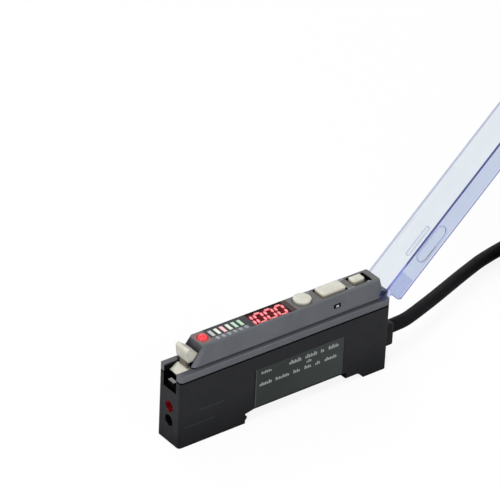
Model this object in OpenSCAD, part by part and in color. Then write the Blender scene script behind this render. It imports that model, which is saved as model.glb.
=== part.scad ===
// Slim fibre optic sensor amplifier for a 35 mm rail, with its dust cover open.
// Lengths run from the fibre face along +X, heights from the feet along +Z.
// The origin is the middle of the rail seat.

/* [Case] */
// Length from the fibre face to the cable face
case_l = 71.8; // [70:0.1:76]
// Width across the flange band
case_w = 9.8; // [9.6:0.1:11]
// Height of the joint line between the two cases
lower_h = 21.2; // [20.8:0.1:22.5]
// Side wall of the lower case
wall = 1.2; // [1:0.05:1.4]
// Radius of the upright corners
corner_r = 0.9; // [0.5:0.1:1.3]
// Floor of the circuit bay
bay_floor_z = 5; // [4.8:0.1:5.4]
// Length of the solid nose that holds the fibres
nose_l = 14.2; // [13.6:0.1:15]

/* [Rail notch] */
// Width of the rail
rail_w = 35; // [34:0.5:36]
// Play between the rail and the hooks
rail_play = 0.1; // [0.05:0.05:0.4]
// Front edge of the rail
rail_x = 22.4; // [21.5:0.1:23]
// Height of the rail seat above the feet
seat_z = 3.7; // [3.5:0.1:4]
// How far the hooks reach under the rail
hook_reach = 0.6; // [0.4:0.1:1]
// Height of the upper face of the hooks
hook_z = 2.2; // [1.8:0.1:2.4]
// Length of the sloping lead-in behind the rear hook
lead_in_l = 5.9; // [5:0.1:7]

/* [Fibre holes] */
// Radius of a fibre hole
fibre_r = 1.15; // [1.1:0.01:1.2]
// Height of the upper fibre hole
fibre_z = 11.3; // [11:0.1:12]
// Distance between the two fibre holes
fibre_pitch = 4.5; // [4.2:0.1:4.8]
// Radius of the funnel at the mouth
funnel_r = 1.75; // [1.5:0.05:1.9]
// Depth of the funnel
funnel_d = 1.2; // [0.8:0.1:1.6]

/* [Lever and clamp] */
// Width of the bay that the lever stands in
lever_bay_w = 5.6; // [5.5:0.1:6]
// Depth of the lever bay below the joint line
lever_bay_d = 4.3; // [4:0.1:4.6]
// Width of the lever
lever_w = 5.2; // [5:0.05:5.3]
// Width of the lever's neck
neck_y = 3; // [2.6:0.1:3.6]
// Place of the lever pin along the case
pin_x = 4.6; // [4.4:0.1:4.8]
// Depth of the lever pin below the joint line
pin_drop = 1.2; // [1:0.1:1.4]
// Radius of the lever pin
pin_r = 0.75; // [0.6:0.05:0.8]
// Radius of the lever hub
hub_r = 1.5; // [1.3:0.05:1.55]
// Running clearance of the lever on its pin
pin_play = 0.05; // [0.02:0.01:0.08]
// Height of the thumb piece's underside above the pin
thumb_z = 5.25; // [4.8:0.05:5.4]
// Height of the thumb piece at its front
thumb_h = 4; // [3.6:0.05:4.2]
// Length of the thumb piece
thumb_l = 3.95; // [3.4:0.05:4.2]
// Front face of the clamp plate
clamp_x = 9.2; // [9:0.1:9.6]
// Thickness of the clamp plate
clamp_t = 1.2; // [1:0.1:1.4]
// Width of the clamp plate
clamp_w = 5; // [4.6:0.1:5.1]
// Width of the clamp's ledge
tab_w = 4; // [3.6:0.1:4.4]
// Height of the clamp's front head above the floor of the lever bay
tab_h = 2.5; // [2.3:0.1:2.7]
// Radius of the fibre eyes in the clamp
eye_r = 1.5; // [1.45:0.05:1.6]
// How far the clamp is pressed down when locked
clamp_shift = 0.25; // [0.15:0.05:0.3]

/* [Upper case] */
// Height of the flange band
band_h = 2; // [1.8:0.1:2.4]
// Height of the top face above the joint line
housing_h = 8.5; // [8.3:0.1:8.8]
// Width at the foot of the side walls
hump_foot_w = 8.2; // [8:0.05:8.2]
// Width of the top face between its rounded edges
hump_top_w = 6.6; // [6.5:0.1:6.8]
// Radius of the upright corners of the display housing
hump_corner_r = 1.5; // [1.2:0.1:1.8]
// Radius along the edges of the top face
hump_edge_r = 0.6; // [0.4:0.1:0.7]
// Front face of the display housing
hump_x = 8.2; // [8:0.1:8.6]
// Foot of the sloping cheeks
cheek_x = 4.4; // [4:0.1:4.8]
// Thickness of the top wall
top_wall = 1.2; // [1.1:0.1:1.3]
// Depth of the groove at the foot of the side walls
groove_d = 0.35; // [0.2:0.05:0.4]
// Height of the groove
groove_h = 0.65; // [0.4:0.05:0.8]
// Height of the skirt that locates the upper case
skirt_h = 1.6; // [1.2:0.1:2]

/* [Dust cover] */
// Thickness of the clear wall
cover_wall = 0.7; // [0.6:0.05:0.7]
// Room between the top face and the closed cover
cover_room = 1.3; // [1.25:0.05:1.5]
// Height of the cover's sides
cover_h = 7.3; // [7:0.1:7.5]
// Length of the cover ahead of its hinge
cover_l = 62.8; // [58:0.1:63]
// Distance of the hinge from the cable face
hinge_inset = 2; // [1.9:0.1:2.4]
// Height of the hinge above the flange band
hinge_rise = 1.7; // [1.7:0.05:2]
// Radius of the hinge ears
ear_r = 1.6; // [1.5:0.05:1.65]
// Radius of the hinge pins
trunnion_r = 0.7; // [0.5:0.05:0.8]
// Running clearance of the hinge pins
trunnion_play = 0.05; // [0.02:0.01:0.08]
// Distance of the snap pips ahead of the hinge
snap_inset = 16.1; // [15:0.1:17]
// How far the open cover has turned from closed
cover_open_a = 137; // [100:1:140]

/* [Controls] */
// Place of the output lamp
lamp_x = 10.4; // [10.2:0.1:11]
// Radius of the output lamp
lamp_r = 1.5; // [1.3:0.05:1.6]
// Place of the first light bar
bar_x = 13.6; // [13.5:0.1:14]
// Pitch of the light bars
bar_pitch = 1.93; // [1.85:0.01:1.95]
// Length of a light bar along the case
bar_l = 1; // [0.9:0.05:1.2]
// Width of a light bar across the case
bar_w = 2.7; // [2.2:0.1:2.8]
// Front end of the display window
window_x = 24.6; // [24.5:0.1:24.8]
// Space between the display window and the set button
window_gap = 1.4; // [1.2:0.1:2]
// Width of the display window
window_w = 5.7; // [5.5:0.1:5.8]
// Thickness of the display window
window_t = 0.5; // [0.4:0.05:0.6]
// Height of a display digit
digit_h = 5.1; // [4.6:0.1:5.2]
// Space behind the row of digits
digit_margin = 1.4; // [1.2:0.05:1.6]
// Distance of the set button from the cable face
set_inset = 27.7; // [27.4:0.1:28]
// Radius of the set button
set_r = 2.6; // [2.3:0.05:2.65]
// Travel of the set button
set_travel = 0.35; // [0.2:0.05:0.4]
// Distance of the rocker's middle from the cable face
rocker_inset = 18; // [17.8:0.1:18.2]
// Length of the rocker
rocker_l = 8.2; // [7.8:0.1:8.6]
// Width of the rocker
rocker_w = 4.4; // [4:0.1:4.5]
// Height of the controls above the top face
control_rise = 1; // [0.8:0.05:1]
// Distance of the slide slot's front end from the cable face
slot_inset = 11.2; // [11:0.1:11.4]
// Length of the slide slot
slot_l = 6.4; // [6.2:0.1:6.6]
// Width of the slide slot
slot_w = 4.5; // [4.2:0.1:4.6]
// Length of the slide knob
knob_l = 4.2; // [3.8:0.1:4.4]
// Width of the slide knob
knob_w = 2.8; // [2.6:0.1:3.2]

/* [Boards] */
// Thickness of the circuit boards
board_t = 0.8; // [0.6:0.1:1]
// Face of the main board that carries its parts
main_y = 1; // [0.8:0.1:1.2]
// Depth of the main board's top edge below the joint line
main_drop = 1.6; // [1.5:0.1:2.2]
// Depth of the display board below the top face
display_drop = 3.4; // [3.3:0.1:3.6]

/* [Cable] */
// Radius of the cable
cable_r = 2; // [1.8:0.05:2.1]
// Height of the cable where it leaves the case
cable_z = 9.7; // [9.5:0.1:10]
// How far the cable boss stands out
boss_l = 3; // [2.4:0.1:3.6]
// Height of the cable boss
boss_h = 6.8; // [6.2:0.1:7.4]
// Radius of the hank's folds at the middle of its turns
fold_r = 14; // [13:0.5:15]
// Length of the hank's straight runs
run_l = 44; // [40:1:48]
// Radius of a lead
lead_r = 0.6; // [0.5:0.05:0.7]

/* [Hidden] */

$fn = 48;
gap = 0.1;
eps = 0.5;
seat_gap = 0.05;
half_w = case_w / 2;
bay_w = case_w - 2 * wall;
rail_rear_x = rail_x + rail_w + rail_play;
seat_x = (rail_x + rail_rear_x) / 2;
band_z = lower_h + band_h;
top_z = lower_h + housing_h;
lever_bay_z = lower_h - lever_bay_d;
pin_z = lower_h - pin_drop;
main_top_z = lower_h - main_drop;
set_x = case_l - set_inset;
rocker_x = case_l - rocker_inset;
slot_x = case_l - slot_inset;
window_l = set_x - set_r - window_gap - window_x;
fibre_heights = [fibre_z, fibre_z - fibre_pitch];
clamp_foot_z = seat_z + 0.3;

// Rating label on the near side, in a shallow pocket
label_depth = 0.2;
label_t = 0.15;
label_x0 = 25.5;
label_l = 30.5;
label_z0 = seat_z + 0.4;
label_top_z = lower_h - 4.9;

// Hinge of the dust cover
hinge_x = case_l - hinge_inset;
hinge_z = band_z + hinge_rise;
knuckle_r = ear_r - 0.1;
cover_top_z = top_z + cover_room + cover_wall;
cover_foot_z = cover_top_z - cover_h;
cover_rear_x = hinge_x - 1.25;
cover_front_x = hinge_x - cover_l;
cover_in_w = case_w - 2 * cover_wall;

// Boards and the steps that they seat on
display_top_z = top_z - display_drop;
display_z = display_top_z - board_t;
cavity_w = 5.9;
cavity_top_w = 5;
cavity_top_z = top_z - top_wall;
cavity_x = hump_x + 1.2;
cavity_end_x = hinge_x - knuckle_r - 0.2;
display_x0 = cavity_x + gap;
display_x1 = cavity_end_x - gap;
main_x0 = nose_l + 4.2;
main_x1 = case_l - 6.3;
groove_floor_z = bay_floor_z - 0.5;

// Cable boss, with its neck through the end wall and a flange inside
boss_z0 = cable_z - 2.7;
boss_w = 8.6;
neck_w = 6;
neck_h = 5.4;
flange_w = 6.8;
flange_t = 1.2;
gland_in_x = case_l - wall - flange_t - gap;
cable_bore_r = cable_r + seat_gap;

// Hank of the length that is put away: two turns side by side, rows on each other
run_y = 24;
hank_x0 = 148;
hank_columns = 2;
hank_rows = 6;
tie_t = 0.5;
tie_w = 6;
hank_z = tie_t;
hank_half = hank_columns * cable_r;
hank_h = hank_rows * 2 * cable_r;
hank_y = run_y - fold_r - cable_r;
hank_top_z = hank_z + hank_h;
tie_places = [[hank_x0 + run_l / 2, 270], [hank_x0 + run_l, 0]];

// Route of the cable from the case to the hank
cable_route = [
    [gland_in_x + gap, 0, cable_z], [case_l + boss_l + 0.2, 0, cable_z], [78, 0, 9.7], [82, 0.4, 9.6],
    [86, 1.5, 9.5], [90, 3, 9.2], [96, 5.5, 8.5], [102, 8.2, 7.7], [108, 11, 6.8], [114, 13.8, 5.9],
    [120, 16.6, 4.9], [126, 19.2, 4], [132, 21.3, 3.2], [138, 22.9, 2.7], [143, 23.7, 2.5], [hank_x0, run_y, 2.5]
];

// The tail climbs from the last turn round the front fold and lies on top of the far run
tail_in_a = 234;
tail_steps = 8;
tail_in_z = hank_top_z - cable_r;
tail_out_z = hank_top_z + 0.75 * cable_r;
tail_end_l = 4;
lead_l = 40;
lead_spread = 0.9;
lead_tip_l = 6;
lead_tip_r = 0.4;
lead_z = hank_top_z + lead_r + seat_gap;

function arc(c, r, a0, a1, n = 5) =
    [for (i = [0:n]) let (a = a0 + (a1 - a0) * i / n) [c[0] + r * cos(a), c[1] + r * sin(a)]];

function round_rect(x0, x1, y0, y1, r) = concat(
    arc([x1 - r, y1 - r], r, 0, 90),
    arc([x0 + r, y1 - r], r, 90, 180),
    arc([x0 + r, y0 + r], r, 180, 270),
    arc([x1 - r, y0 + r], r, 270, 360)
);

function mirrored(half) = concat(half, [for (i = [len(half) - 1:-1:0]) [-half[i][0], half[i][1]]]);

function unit(v) = v / norm(v);

function heading(p, i) = unit(p[min(i + 1, len(p) - 1)] - p[max(i - 1, 0)]);

function tube_ring(p, i, r, sides) =
    let (t = heading(p, i))
    let (side = unit(cross([0, 0, 1], t)))
    let (up = cross(t, side))
    [for (j = [0:sides - 1]) p[i] + r * (cos(360 * j / sides) * side + sin(360 * j / sides) * up)];

function tube_faces(rings, sides) = concat(
    [[for (j = [0:sides - 1]) j]],
    [[for (j = [sides - 1:-1:0]) (rings - 1) * sides + j]],
    [for (i = [0:rings - 2]) for (j = [0:sides - 1])
        [i * sides + j, (i + 1) * sides + j, i * sides + (j + 1) % sides]],
    [for (i = [0:rings - 2]) for (j = [0:sides - 1])
        [i * sides + (j + 1) % sides, (i + 1) * sides + j, (i + 1) * sides + (j + 1) % sides]]
);

// A cord of round section through a list of points
module tube(points, r, sides) {
    polyhedron(
        [for (i = [0:len(points) - 1]) each tube_ring(points, i, r, sides)],
        tube_faces(len(points), sides)
    );
}

// Moves a piece from the case's own corner to the middle of the rail seat
module place() {
    translate([-seat_x, 0, -seat_z]) children();
}

// A side view drawn in X and Z, as wide as w
module across(w) {
    rotate([90, 0, 0]) linear_extrude(w, center = true) children();
}

// A cross-section drawn in Y and Z, from x0 to x1
module along(x0, x1) {
    translate([x0, 0, 0]) rotate([90, 0, 90]) linear_extrude(x1 - x0) children();
}

// A block centred across the case
module block(x0, x1, w, z0, z1) {
    translate([x0, -w / 2, z0]) cube([x1 - x0, w, z1 - z0]);
}

module rod_y(x, z, r, w) {
    translate([x, 0, z]) rotate([90, 0, 0]) cylinder(r = r, h = w, center = true);
}

module rod_x(x0, x1, y, z, r) {
    translate([x0, y, z]) rotate([0, 90, 0]) cylinder(r = r, h = x1 - x0);
}

// Shapes that both cases share
module plan_outline() {
    polygon(round_rect(0, case_l, -half_w, half_w, corner_r));
}

module rail_notch() {
    hook_front_x = rail_x + hook_reach;
    hook_rear_x = rail_rear_x - hook_reach;
    foot_x = rail_rear_x + lead_in_l;
    lip_z = seat_z - 0.6;
    across(case_w + 2 * eps) polygon([
        [rail_x + 0.05, -eps], [rail_x + 0.05, hook_z - 1.2], [hook_front_x, hook_z - 0.6], [hook_front_x, hook_z],
        [rail_x, hook_z + 0.2], [rail_x, lip_z], [rail_x + 2.9, seat_z],
        [rail_rear_x, seat_z], [rail_rear_x, hook_z + 0.2], [hook_rear_x, hook_z], [hook_rear_x + 0.4, hook_z - 0.35],
        [foot_x - 2, hook_z - 0.35], [foot_x - 0.9, hook_z - 0.8], [foot_x, 0.4], [foot_x + 0.2, 0], [foot_x + 0.2, -eps]
    ]);
}

module fibre_hole(z) {
    rod_x(-eps, clamp_x, 0, z, fibre_r);
    rod_x(clamp_x, nose_l + eps, 0, z, fibre_r + 0.2);
    translate([0, 0, z]) rotate([0, 90, 0]) translate([0, 0, -gap])
        cylinder(r1 = funnel_r + gap * (funnel_r - fibre_r) / funnel_d, r2 = fibre_r, h = funnel_d + gap);
}

module label_pocket() {
    translate([label_x0 - gap, -half_w - eps, label_z0 - gap])
        cube([label_l + 2 * gap, label_depth + eps, label_top_z - label_z0 + 2 * gap]);
}

// Fine engraved lines that show how far the fibres go in
module depth_marks() {
    mark_d = 0.06;
    mark_w = 0.25;
    for (m = [[6.5, 14.9, fibre_z - 1], [1.8, 12.4, fibre_z - fibre_pitch - 0.6]])
        translate([m[0], -half_w - eps, m[2]]) cube([m[1] - m[0], mark_d + eps, mark_w]);
}

module lower_case() color([0.17, 0.175, 0.185]) place() {
    bay_x1 = case_l - wall;
    difference() {
        linear_extrude(lower_h) plan_outline();
        rail_notch();
        block(nose_l, bay_x1, bay_w, bay_floor_z, lower_h + eps);
        block(-eps, clamp_x + clamp_t + gap, lever_bay_w, lever_bay_z, lower_h + eps);
        block(clamp_x - gap, clamp_x + clamp_t + gap, clamp_w + 2 * gap, clamp_foot_z - 0.4, lever_bay_z + eps);
        for (z = fibre_heights) fibre_hole(z);
        rod_y(pin_x, pin_z, pin_r + 0.01, lever_bay_w + 2);
        block(bay_x1 - eps, case_l + eps, neck_w, boss_z0 + 0.2, boss_z0 + 0.2 + neck_h);
        translate([main_x0 - gap, main_y - seat_gap, groove_floor_z])
            cube([main_x1 - main_x0 + 2 * gap, board_t + 2 * seat_gap, bay_floor_z]);
        label_pocket();
        depth_marks();
    }
}

module rating_label() color([0.2, 0.22, 0.21]) place()
    translate([label_x0, -half_w + label_depth - label_t, label_z0])
        cube([label_l, label_t, label_top_z - label_z0]);

// Outline of the upper case seen along its length
function hump_half() = concat(
    [[half_w, lower_h]],
    arc([half_w - 0.3, band_z - 0.3], 0.3, 0, 90),
    [[hump_foot_w / 2, band_z], [hump_foot_w / 2 - groove_d, band_z + 0.05]],
    [[hump_foot_w / 2 - groove_d, band_z + groove_h], [hump_foot_w / 2, band_z + groove_h + 0.1]],
    arc([hump_top_w / 2 - hump_edge_r, top_z - hump_edge_r], hump_edge_r, 8, 90)
);

// Outline of the upper case seen from the side
front_edge = arc([hump_x + 0.4, top_z - 0.7], 0.7, 140, 90);
front_top = front_edge[0];
rear_edge = arc([hinge_x - 1.3, top_z - 1], 1, 90, 15);
rear_top = rear_edge[len(rear_edge) - 1];
module hump_profile() {
    polygon(concat(
        [[0, lower_h - eps], [0, band_z], [cheek_x, band_z], [cheek_x + 0.3, band_z + groove_h + 0.1]],
        front_edge,
        rear_edge,
        [[hinge_x + 1, band_z], [case_l, band_z], [case_l, lower_h - eps]]
    ));
}

// The window rests on a narrow ledge along its sides
ledge_w = 0.15;
module window_opening() {
    block(window_x - seat_gap, window_x + window_l + seat_gap, window_w + 2 * seat_gap, top_z - window_t, top_z + eps);
    block(window_x + 0.5, window_x + window_l - 0.5, window_w - 2 * ledge_w, cavity_top_z - eps, top_z);
}

// The window reaches forward beside the light bars as a narrower strip
strip_x = bar_x - 1.2;
strip_y0 = -1.35;
module strip_opening() {
    translate([strip_x - seat_gap, strip_y0 - seat_gap, top_z - window_t])
        cube([window_x - strip_x + eps, window_w / 2 - strip_y0 + 2 * seat_gap, window_t + eps]);
    translate([strip_x + 0.4, strip_y0 + 0.2, cavity_top_z - eps])
        cube([window_x - strip_x, cavity_top_w / 2 - strip_y0 - 0.2, top_wall]);
}

set_well_d = set_travel + 0.65;
rocker_gap = 0.45;
rocker_pin_r = 0.5;
rocker_pin_z = top_z - 1.7;
rocker_pin_w = 5.6;
module control_openings() {
    translate([lamp_x, 0, cavity_top_z - eps]) cylinder(r = lamp_r + gap, h = top_wall + 2 * eps);
    translate([set_x, 0, cavity_top_z - set_well_d]) cylinder(r = set_r + gap, h = set_well_d + top_wall + eps);
    block(rocker_x - rocker_l / 2 - rocker_gap, rocker_x + rocker_l / 2 + rocker_gap, rocker_w + 0.3, cavity_top_z - eps, top_z + eps);
    rod_y(rocker_x, rocker_pin_z, rocker_pin_r + 0.05, rocker_pin_w + 0.2);
    block(slot_x, slot_x + slot_l, slot_w, cavity_top_z - eps, top_z + eps);
}

// Small pips on the sides that hold the cover closed
snap_x = hinge_x - snap_inset;
snap_z = hinge_z + 1.5;
module snap_pips() {
    pip_l = 0.9;
    pip_h = 0.5;
    pip_out = 7.8;
    block(snap_x - pip_l / 2, snap_x + pip_l / 2, pip_out, snap_z - pip_h / 2, snap_z + pip_h / 2);
}

// Shallow recess in each side round the pip
module snap_recesses() {
    recess_l = 2.4;
    recess_h = 1.3;
    floor_w = 6.6;
    difference() {
        block(snap_x - recess_l / 2, snap_x + recess_l / 2, case_w, snap_z - recess_h / 2, snap_z + recess_h / 2);
        block(snap_x - recess_l, snap_x + recess_l, floor_w, snap_z - recess_h, snap_z + recess_h);
    }
}

// Waste at a corner of the display housing: face normals n1 and n2, through the point on the corner's edge
module corner_waste(edge_point, n1, n2, r) {
    over = 0.4;
    bite = 0.02;
    reach = 9;
    e = unit(cross(n1, n2)) * sign(cross(n1, n2)[2]);
    tilt = acos(e[2]);
    turn = atan2(e[1], e[0]);
    lx = [cos(tilt) * cos(turn), cos(tilt) * sin(turn), -sin(tilt)];
    ly = [-sin(turn), cos(turn), 0];
    m1 = [n1 * lx, n1 * ly];
    m2 = [n2 * lx, n2 * ly];
    c = -(r - bite) * (m1 + m2) / (1 + m1 * m2);
    far = r + over;
    translate(edge_point) rotate([0, tilt, turn]) translate([0, 0, -1]) linear_extrude(reach) difference() {
        polygon([c, c + far * m1, c + far * (m1 + m2) * 1.2, c + far * m2]);
        translate(c) circle(r);
    }
}

// The four upright corners of the display housing, rounded above the flange band
module hump_corners() {
    foot_z = band_z + groove_h + 0.1;
    side_top = [hump_top_w / 2 - hump_edge_r * (1 - cos(8)), top_z - hump_edge_r * (1 - sin(8))];
    side_a = atan2(hump_foot_w / 2 - side_top[0], side_top[1] - foot_z);
    front_a = atan2(front_top[0] - cheek_x - 0.3, front_top[1] - foot_z);
    rear_a = atan2(hinge_x + 1 - rear_top[0], rear_top[1] - band_z);
    rear_x = hinge_x + 1 - (foot_z - band_z) * tan(rear_a);
    intersection() {
        union() for (s = [-1, 1]) {
            side_n = [0, s * cos(side_a), sin(side_a)];
            corner_y = s * hump_foot_w / 2;
            corner_waste([cheek_x + 0.3, corner_y, foot_z], [-cos(front_a), 0, sin(front_a)], side_n, hump_corner_r);
            corner_waste([rear_x, corner_y, foot_z], [cos(rear_a), 0, sin(rear_a)], side_n, hump_corner_r);
        }
        block(0, case_l, case_w, band_z + 0.05, top_z + 2);
    }
}

module upper_case() color([0.41, 0.42, 0.44]) place() {
    skirt_w = bay_w - 2 * gap;
    difference() {
        union() {
            difference() {
                intersection() {
                    along(0, case_l) polygon(mirrored(hump_half()));
                    across(case_w + 1) hump_profile();
                    linear_extrude(top_z + 1) plan_outline();
                }
                hump_corners();
                snap_recesses();
            }
            rod_y(hinge_x, hinge_z, knuckle_r, hump_foot_w - 0.4);
            snap_pips();
            block(nose_l + gap, case_l - wall - gap, skirt_w, lower_h - skirt_h, lower_h + eps);
        }
        block(nose_l + gap + 0.9, case_l - wall - gap - 0.9, skirt_w - 1.6, lower_h - skirt_h - eps, lower_h + gap);
        block(-eps, hump_x, lever_bay_w, lower_h - eps, top_z + eps);
        block(cavity_x, cavity_end_x, cavity_w, lower_h - eps, display_top_z);
        block(cavity_x, cavity_end_x, cavity_top_w, lower_h - eps, cavity_top_z);
        window_opening();
        strip_opening();
        control_openings();
        for (s = [-1, 1]) translate([hinge_x, s * (hump_foot_w / 2 - 0.55), hinge_z]) rotate([90, 0, 0])
            cylinder(r = trunnion_r + trunnion_play, h = 1.4, center = true);
    }
}

// The cover is drawn closed, then turned open about its hinge
module cover_side() {
    front_r = 1.6;
    rear_r = 2;
    polygon(concat(
        arc([cover_front_x + front_r, cover_top_z - front_r], front_r, 180, 90),
        arc([cover_rear_x - rear_r, cover_top_z - rear_r], rear_r, 90, 0),
        [[cover_rear_x, hinge_z + 2.2], [hinge_x + 0.4, hinge_z + ear_r - 0.1], [hinge_x, hinge_z]],
        [[hinge_x - ear_r, cover_foot_z]],
        arc([cover_front_x + 0.8, cover_foot_z + 0.8], 0.8, 270, 180)
    ));
}

module cover_section() {
    edge_r = 0.7;
    polygon(mirrored(concat(
        [[half_w, 0]],
        arc([half_w - edge_r, cover_top_z - edge_r], edge_r, 0, 90)
    )));
}

// Long rounded recesses on the inside: one in each side for the pips, a slender one under the top wall
module cover_recesses(inner_top_z) {
    recess_d = 0.25;
    side_l = 12;
    side_h = 4.4;
    side_x1 = snap_x + 3;
    side_z = hinge_z + 2.6;
    across(cover_in_w + 2 * recess_d)
        polygon(round_rect(side_x1 - side_l, side_x1, side_z - side_h / 2, side_z + side_h / 2, side_h / 2 - 0.05));
    translate([0, 0, inner_top_z - eps]) linear_extrude(eps + recess_d)
        polygon(round_rect(snap_x - 6.8, snap_x + 3.2, 2.6, 3.8, 0.55));
}

module dust_cover() color([0.75, 0.82, 0.95, 0.4]) place()
    translate([hinge_x, 0, hinge_z]) rotate([0, cover_open_a, 0]) translate([-hinge_x, 0, -hinge_z]) {
        inner_top_z = cover_top_z - cover_wall;
        trunnion_l = 1;
        difference() {
            union() {
                intersection() {
                    along(cover_front_x, case_l + 3) cover_section();
                    across(case_w + 1) cover_side();
                }
                rod_y(hinge_x, hinge_z, ear_r, case_w);
            }
            block(cover_front_x - eps, case_l + 3, cover_in_w, 0, inner_top_z);
            cover_recesses(inner_top_z);
        }
        for (s = [-1, 1]) translate([hinge_x, s * (cover_in_w / 2 - trunnion_l / 2 + 0.1), hinge_z]) rotate([90, 0, 0])
            cylinder(r = trunnion_r, h = trunnion_l + 0.2, center = true);
    }

// Side views of the lever about its pin
thumb_x = -1.15;
neck_x0 = -0.5;
neck_x1 = 0.65;
foot_top_z = 2.85;

module thumb_profile() {
    nose_r = 0.65;
    lip_r = 0.4;
    lip_back = 0.35;
    tip_r = 0.5;
    slope_a = 62;
    under_a = 45;
    lean_a = 5;
    polygon(concat(
        arc([thumb_x + nose_r, thumb_z + thumb_h - nose_r], nose_r, 180 + lean_a, slope_a),
        arc([thumb_x + thumb_l - tip_r, thumb_z + 1.55], tip_r, slope_a, -under_a),
        arc([neck_x1 + 0.1, thumb_z + tip_r], tip_r, -under_a, -90),
        arc([thumb_x + lip_back + lip_r, thumb_z + lip_r], lip_r, 270, 180 + lean_a)
    ));
}

module neck_profile() {
    polygon([
        [neck_x0, foot_top_z - 0.6], [neck_x0, thumb_z + 0.6], [neck_x1, thumb_z + 0.6],
        [neck_x1 + 0.35, foot_top_z - 0.6]
    ]);
}

module foot_profile() {
    polygon([
        [neck_x0, foot_top_z], [neck_x1 + 0.35, foot_top_z - 0.2], [hub_r, 0], [-1, -1], [-2.4, 0.75], [-2.85, 1.3]
    ]);
}

module lock_lever() color([0.87, 0.86, 0.79]) place() difference() {
    cam_drop = 1.15;
    cam_r = 0.9;
    union() {
        translate([pin_x, 0, pin_z]) {
            across(lever_w) thumb_profile();
            across(neck_y) neck_profile();
            across(lever_w) foot_profile();
        }
        rod_y(pin_x, pin_z, hub_r, lever_w);
        rod_y(pin_x, pin_z - cam_drop, cam_r, tab_w);
    }
    rod_y(pin_x, pin_z, pin_r + pin_play, lever_w + 1);
}

module lever_pin() color([0.7, 0.71, 0.73]) place() rod_y(pin_x, pin_z, pin_r, lever_bay_w + 1.9);

module fibre_clamp() color([0.6, 0.6, 0.62]) place() {
    ledge_z = lever_bay_z + seat_gap;
    ledge_t = 0.8;
    head_x = 0.35;
    head_l = 1.15;
    head_t = 0.5;
    head_w = 2.6;
    head_z = lever_bay_z + tab_h;
    post_l = 0.5;
    post_w = 1.6;
    post_x = head_x + head_l - post_l;
    difference() {
        union() {
            block(post_x, clamp_x + clamp_t, tab_w, ledge_z, ledge_z + ledge_t);
            block(post_x, post_x + post_l, post_w, ledge_z, head_z);
            block(head_x, head_x + head_l, head_w, head_z - head_t, head_z);
            block(clamp_x, clamp_x + clamp_t, clamp_w, clamp_foot_z, ledge_z + ledge_t);
        }
        for (z = fibre_heights) rod_x(clamp_x - eps, clamp_x + clamp_t + eps, 0, z - clamp_shift, eye_r);
    }
}

optic_l = 3.6;
diode_r = 1.5;
diode_l = 3;
module optic_holder() color([0.12, 0.12, 0.13]) place() difference() {
    block(nose_l + seat_gap, nose_l + optic_l, bay_w - 2 * gap, bay_floor_z, fibre_z + 3);
    for (z = fibre_heights) rod_x(nose_l - eps, nose_l + optic_l + eps, 0, z, diode_r + seat_gap);
}

// A lensed diode with two leads that lie on the face of the main board
module diode(z) {
    wire_r = 0.25;
    body_x0 = nose_l + 0.15;
    rod_x(body_x0, body_x0 + diode_l, 0, z, diode_r);
    for (s = [-1, 1]) rod_x(body_x0 + diode_l - 0.2, main_x0 + 2.5, main_y - wire_r - 0.01, z + s * 0.9, wire_r);
}

module emitter_led() color([0.85, 0.25, 0.22]) place() diode(fibre_heights[0]);

module receiver_diode() color([0.16, 0.14, 0.2]) place() diode(fibre_heights[1]);

module main_board() color([0.1, 0.32, 0.2]) place()
    translate([main_x0, main_y, groove_floor_z + seat_gap])
        cube([main_x1 - main_x0, board_t, main_top_z - groove_floor_z - seat_gap]);

// Processor, amplifier, regulator and a row of capacitors on the main board
module main_chips() color([0.09, 0.09, 0.1]) place() {
    chips = [[7.6, 4.1, 7, 7, 1], [18, 2.7, 5, 4, 1.2], [18, 8.5, 4.4, 3.4, 1.1]];
    cap_l = 1.6;
    cap_pitch = 2.6;
    cap_t = 0.9;
    for (c = chips) translate([main_x0 + c[0], main_y - c[4], groove_floor_z + c[1]]) cube([c[2], c[4], c[3]]);
    for (i = [0:3]) translate([main_x0 + 25.6 + cap_pitch * i, main_y - cap_t, groove_floor_z + 7.5])
        cube([cap_l, cap_t, cap_t]);
}

module board_header() color([0.75, 0.66, 0.4]) place() {
    header_x = set_x - 0.1;
    pins = 5;
    pin_pitch = 2;
    body_w = 1.8;
    body_z = main_top_z - 3.4;
    translate([header_x, main_y - body_w, body_z]) cube([pins * pin_pitch, body_w, 2.4]);
    for (i = [0:pins - 1]) translate([header_x + (i + 0.5) * pin_pitch, main_y - body_w / 2, body_z + 2.2])
        cylinder(r = 0.25, h = display_z - body_z - 2.2);
}

module display_board() color([0.1, 0.32, 0.2]) place()
    block(display_x0, display_x1, cavity_w - 2 * gap, display_z, display_top_z);

// Seven-segment figures: which bars of each digit are lit, from the top bar clockwise, the middle bar last
lit_bars = [[0, 1, 1, 0, 0, 0, 0], [1, 1, 1, 1, 1, 1, 0], [1, 1, 1, 1, 1, 1, 0], [1, 1, 1, 1, 1, 1, 0]];
digit_top_z = top_z - window_t - 0.25;
// The row is a one and three full digits, measured in pitches
digit_row = 3.97;
digit_pitch = (window_l - digit_margin) / digit_row;
digit_x0 = window_x + 0.45 * digit_pitch;
module digit_display() color([0.16, 0.05, 0.06]) place() {
    x0 = window_x + 0.7;
    x1 = window_x + window_l - 0.7;
    block(x0, x1, cavity_top_w - 2 * gap, display_top_z, digit_top_z);
    block(x0, x1, window_w - 2 * ledge_w - gap, cavity_top_z - 0.3, digit_top_z);
}

bar_half = 0.11 * digit_pitch;
bar_space = 0.3;
digit_slant = 10;
module digit_bar(length) {
    polygon([
        [-length / 2, 0], [-length / 2 + bar_half, bar_half], [length / 2 - bar_half, bar_half],
        [length / 2, 0], [length / 2 - bar_half, -bar_half], [-length / 2 + bar_half, -bar_half]
    ]);
}

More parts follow.
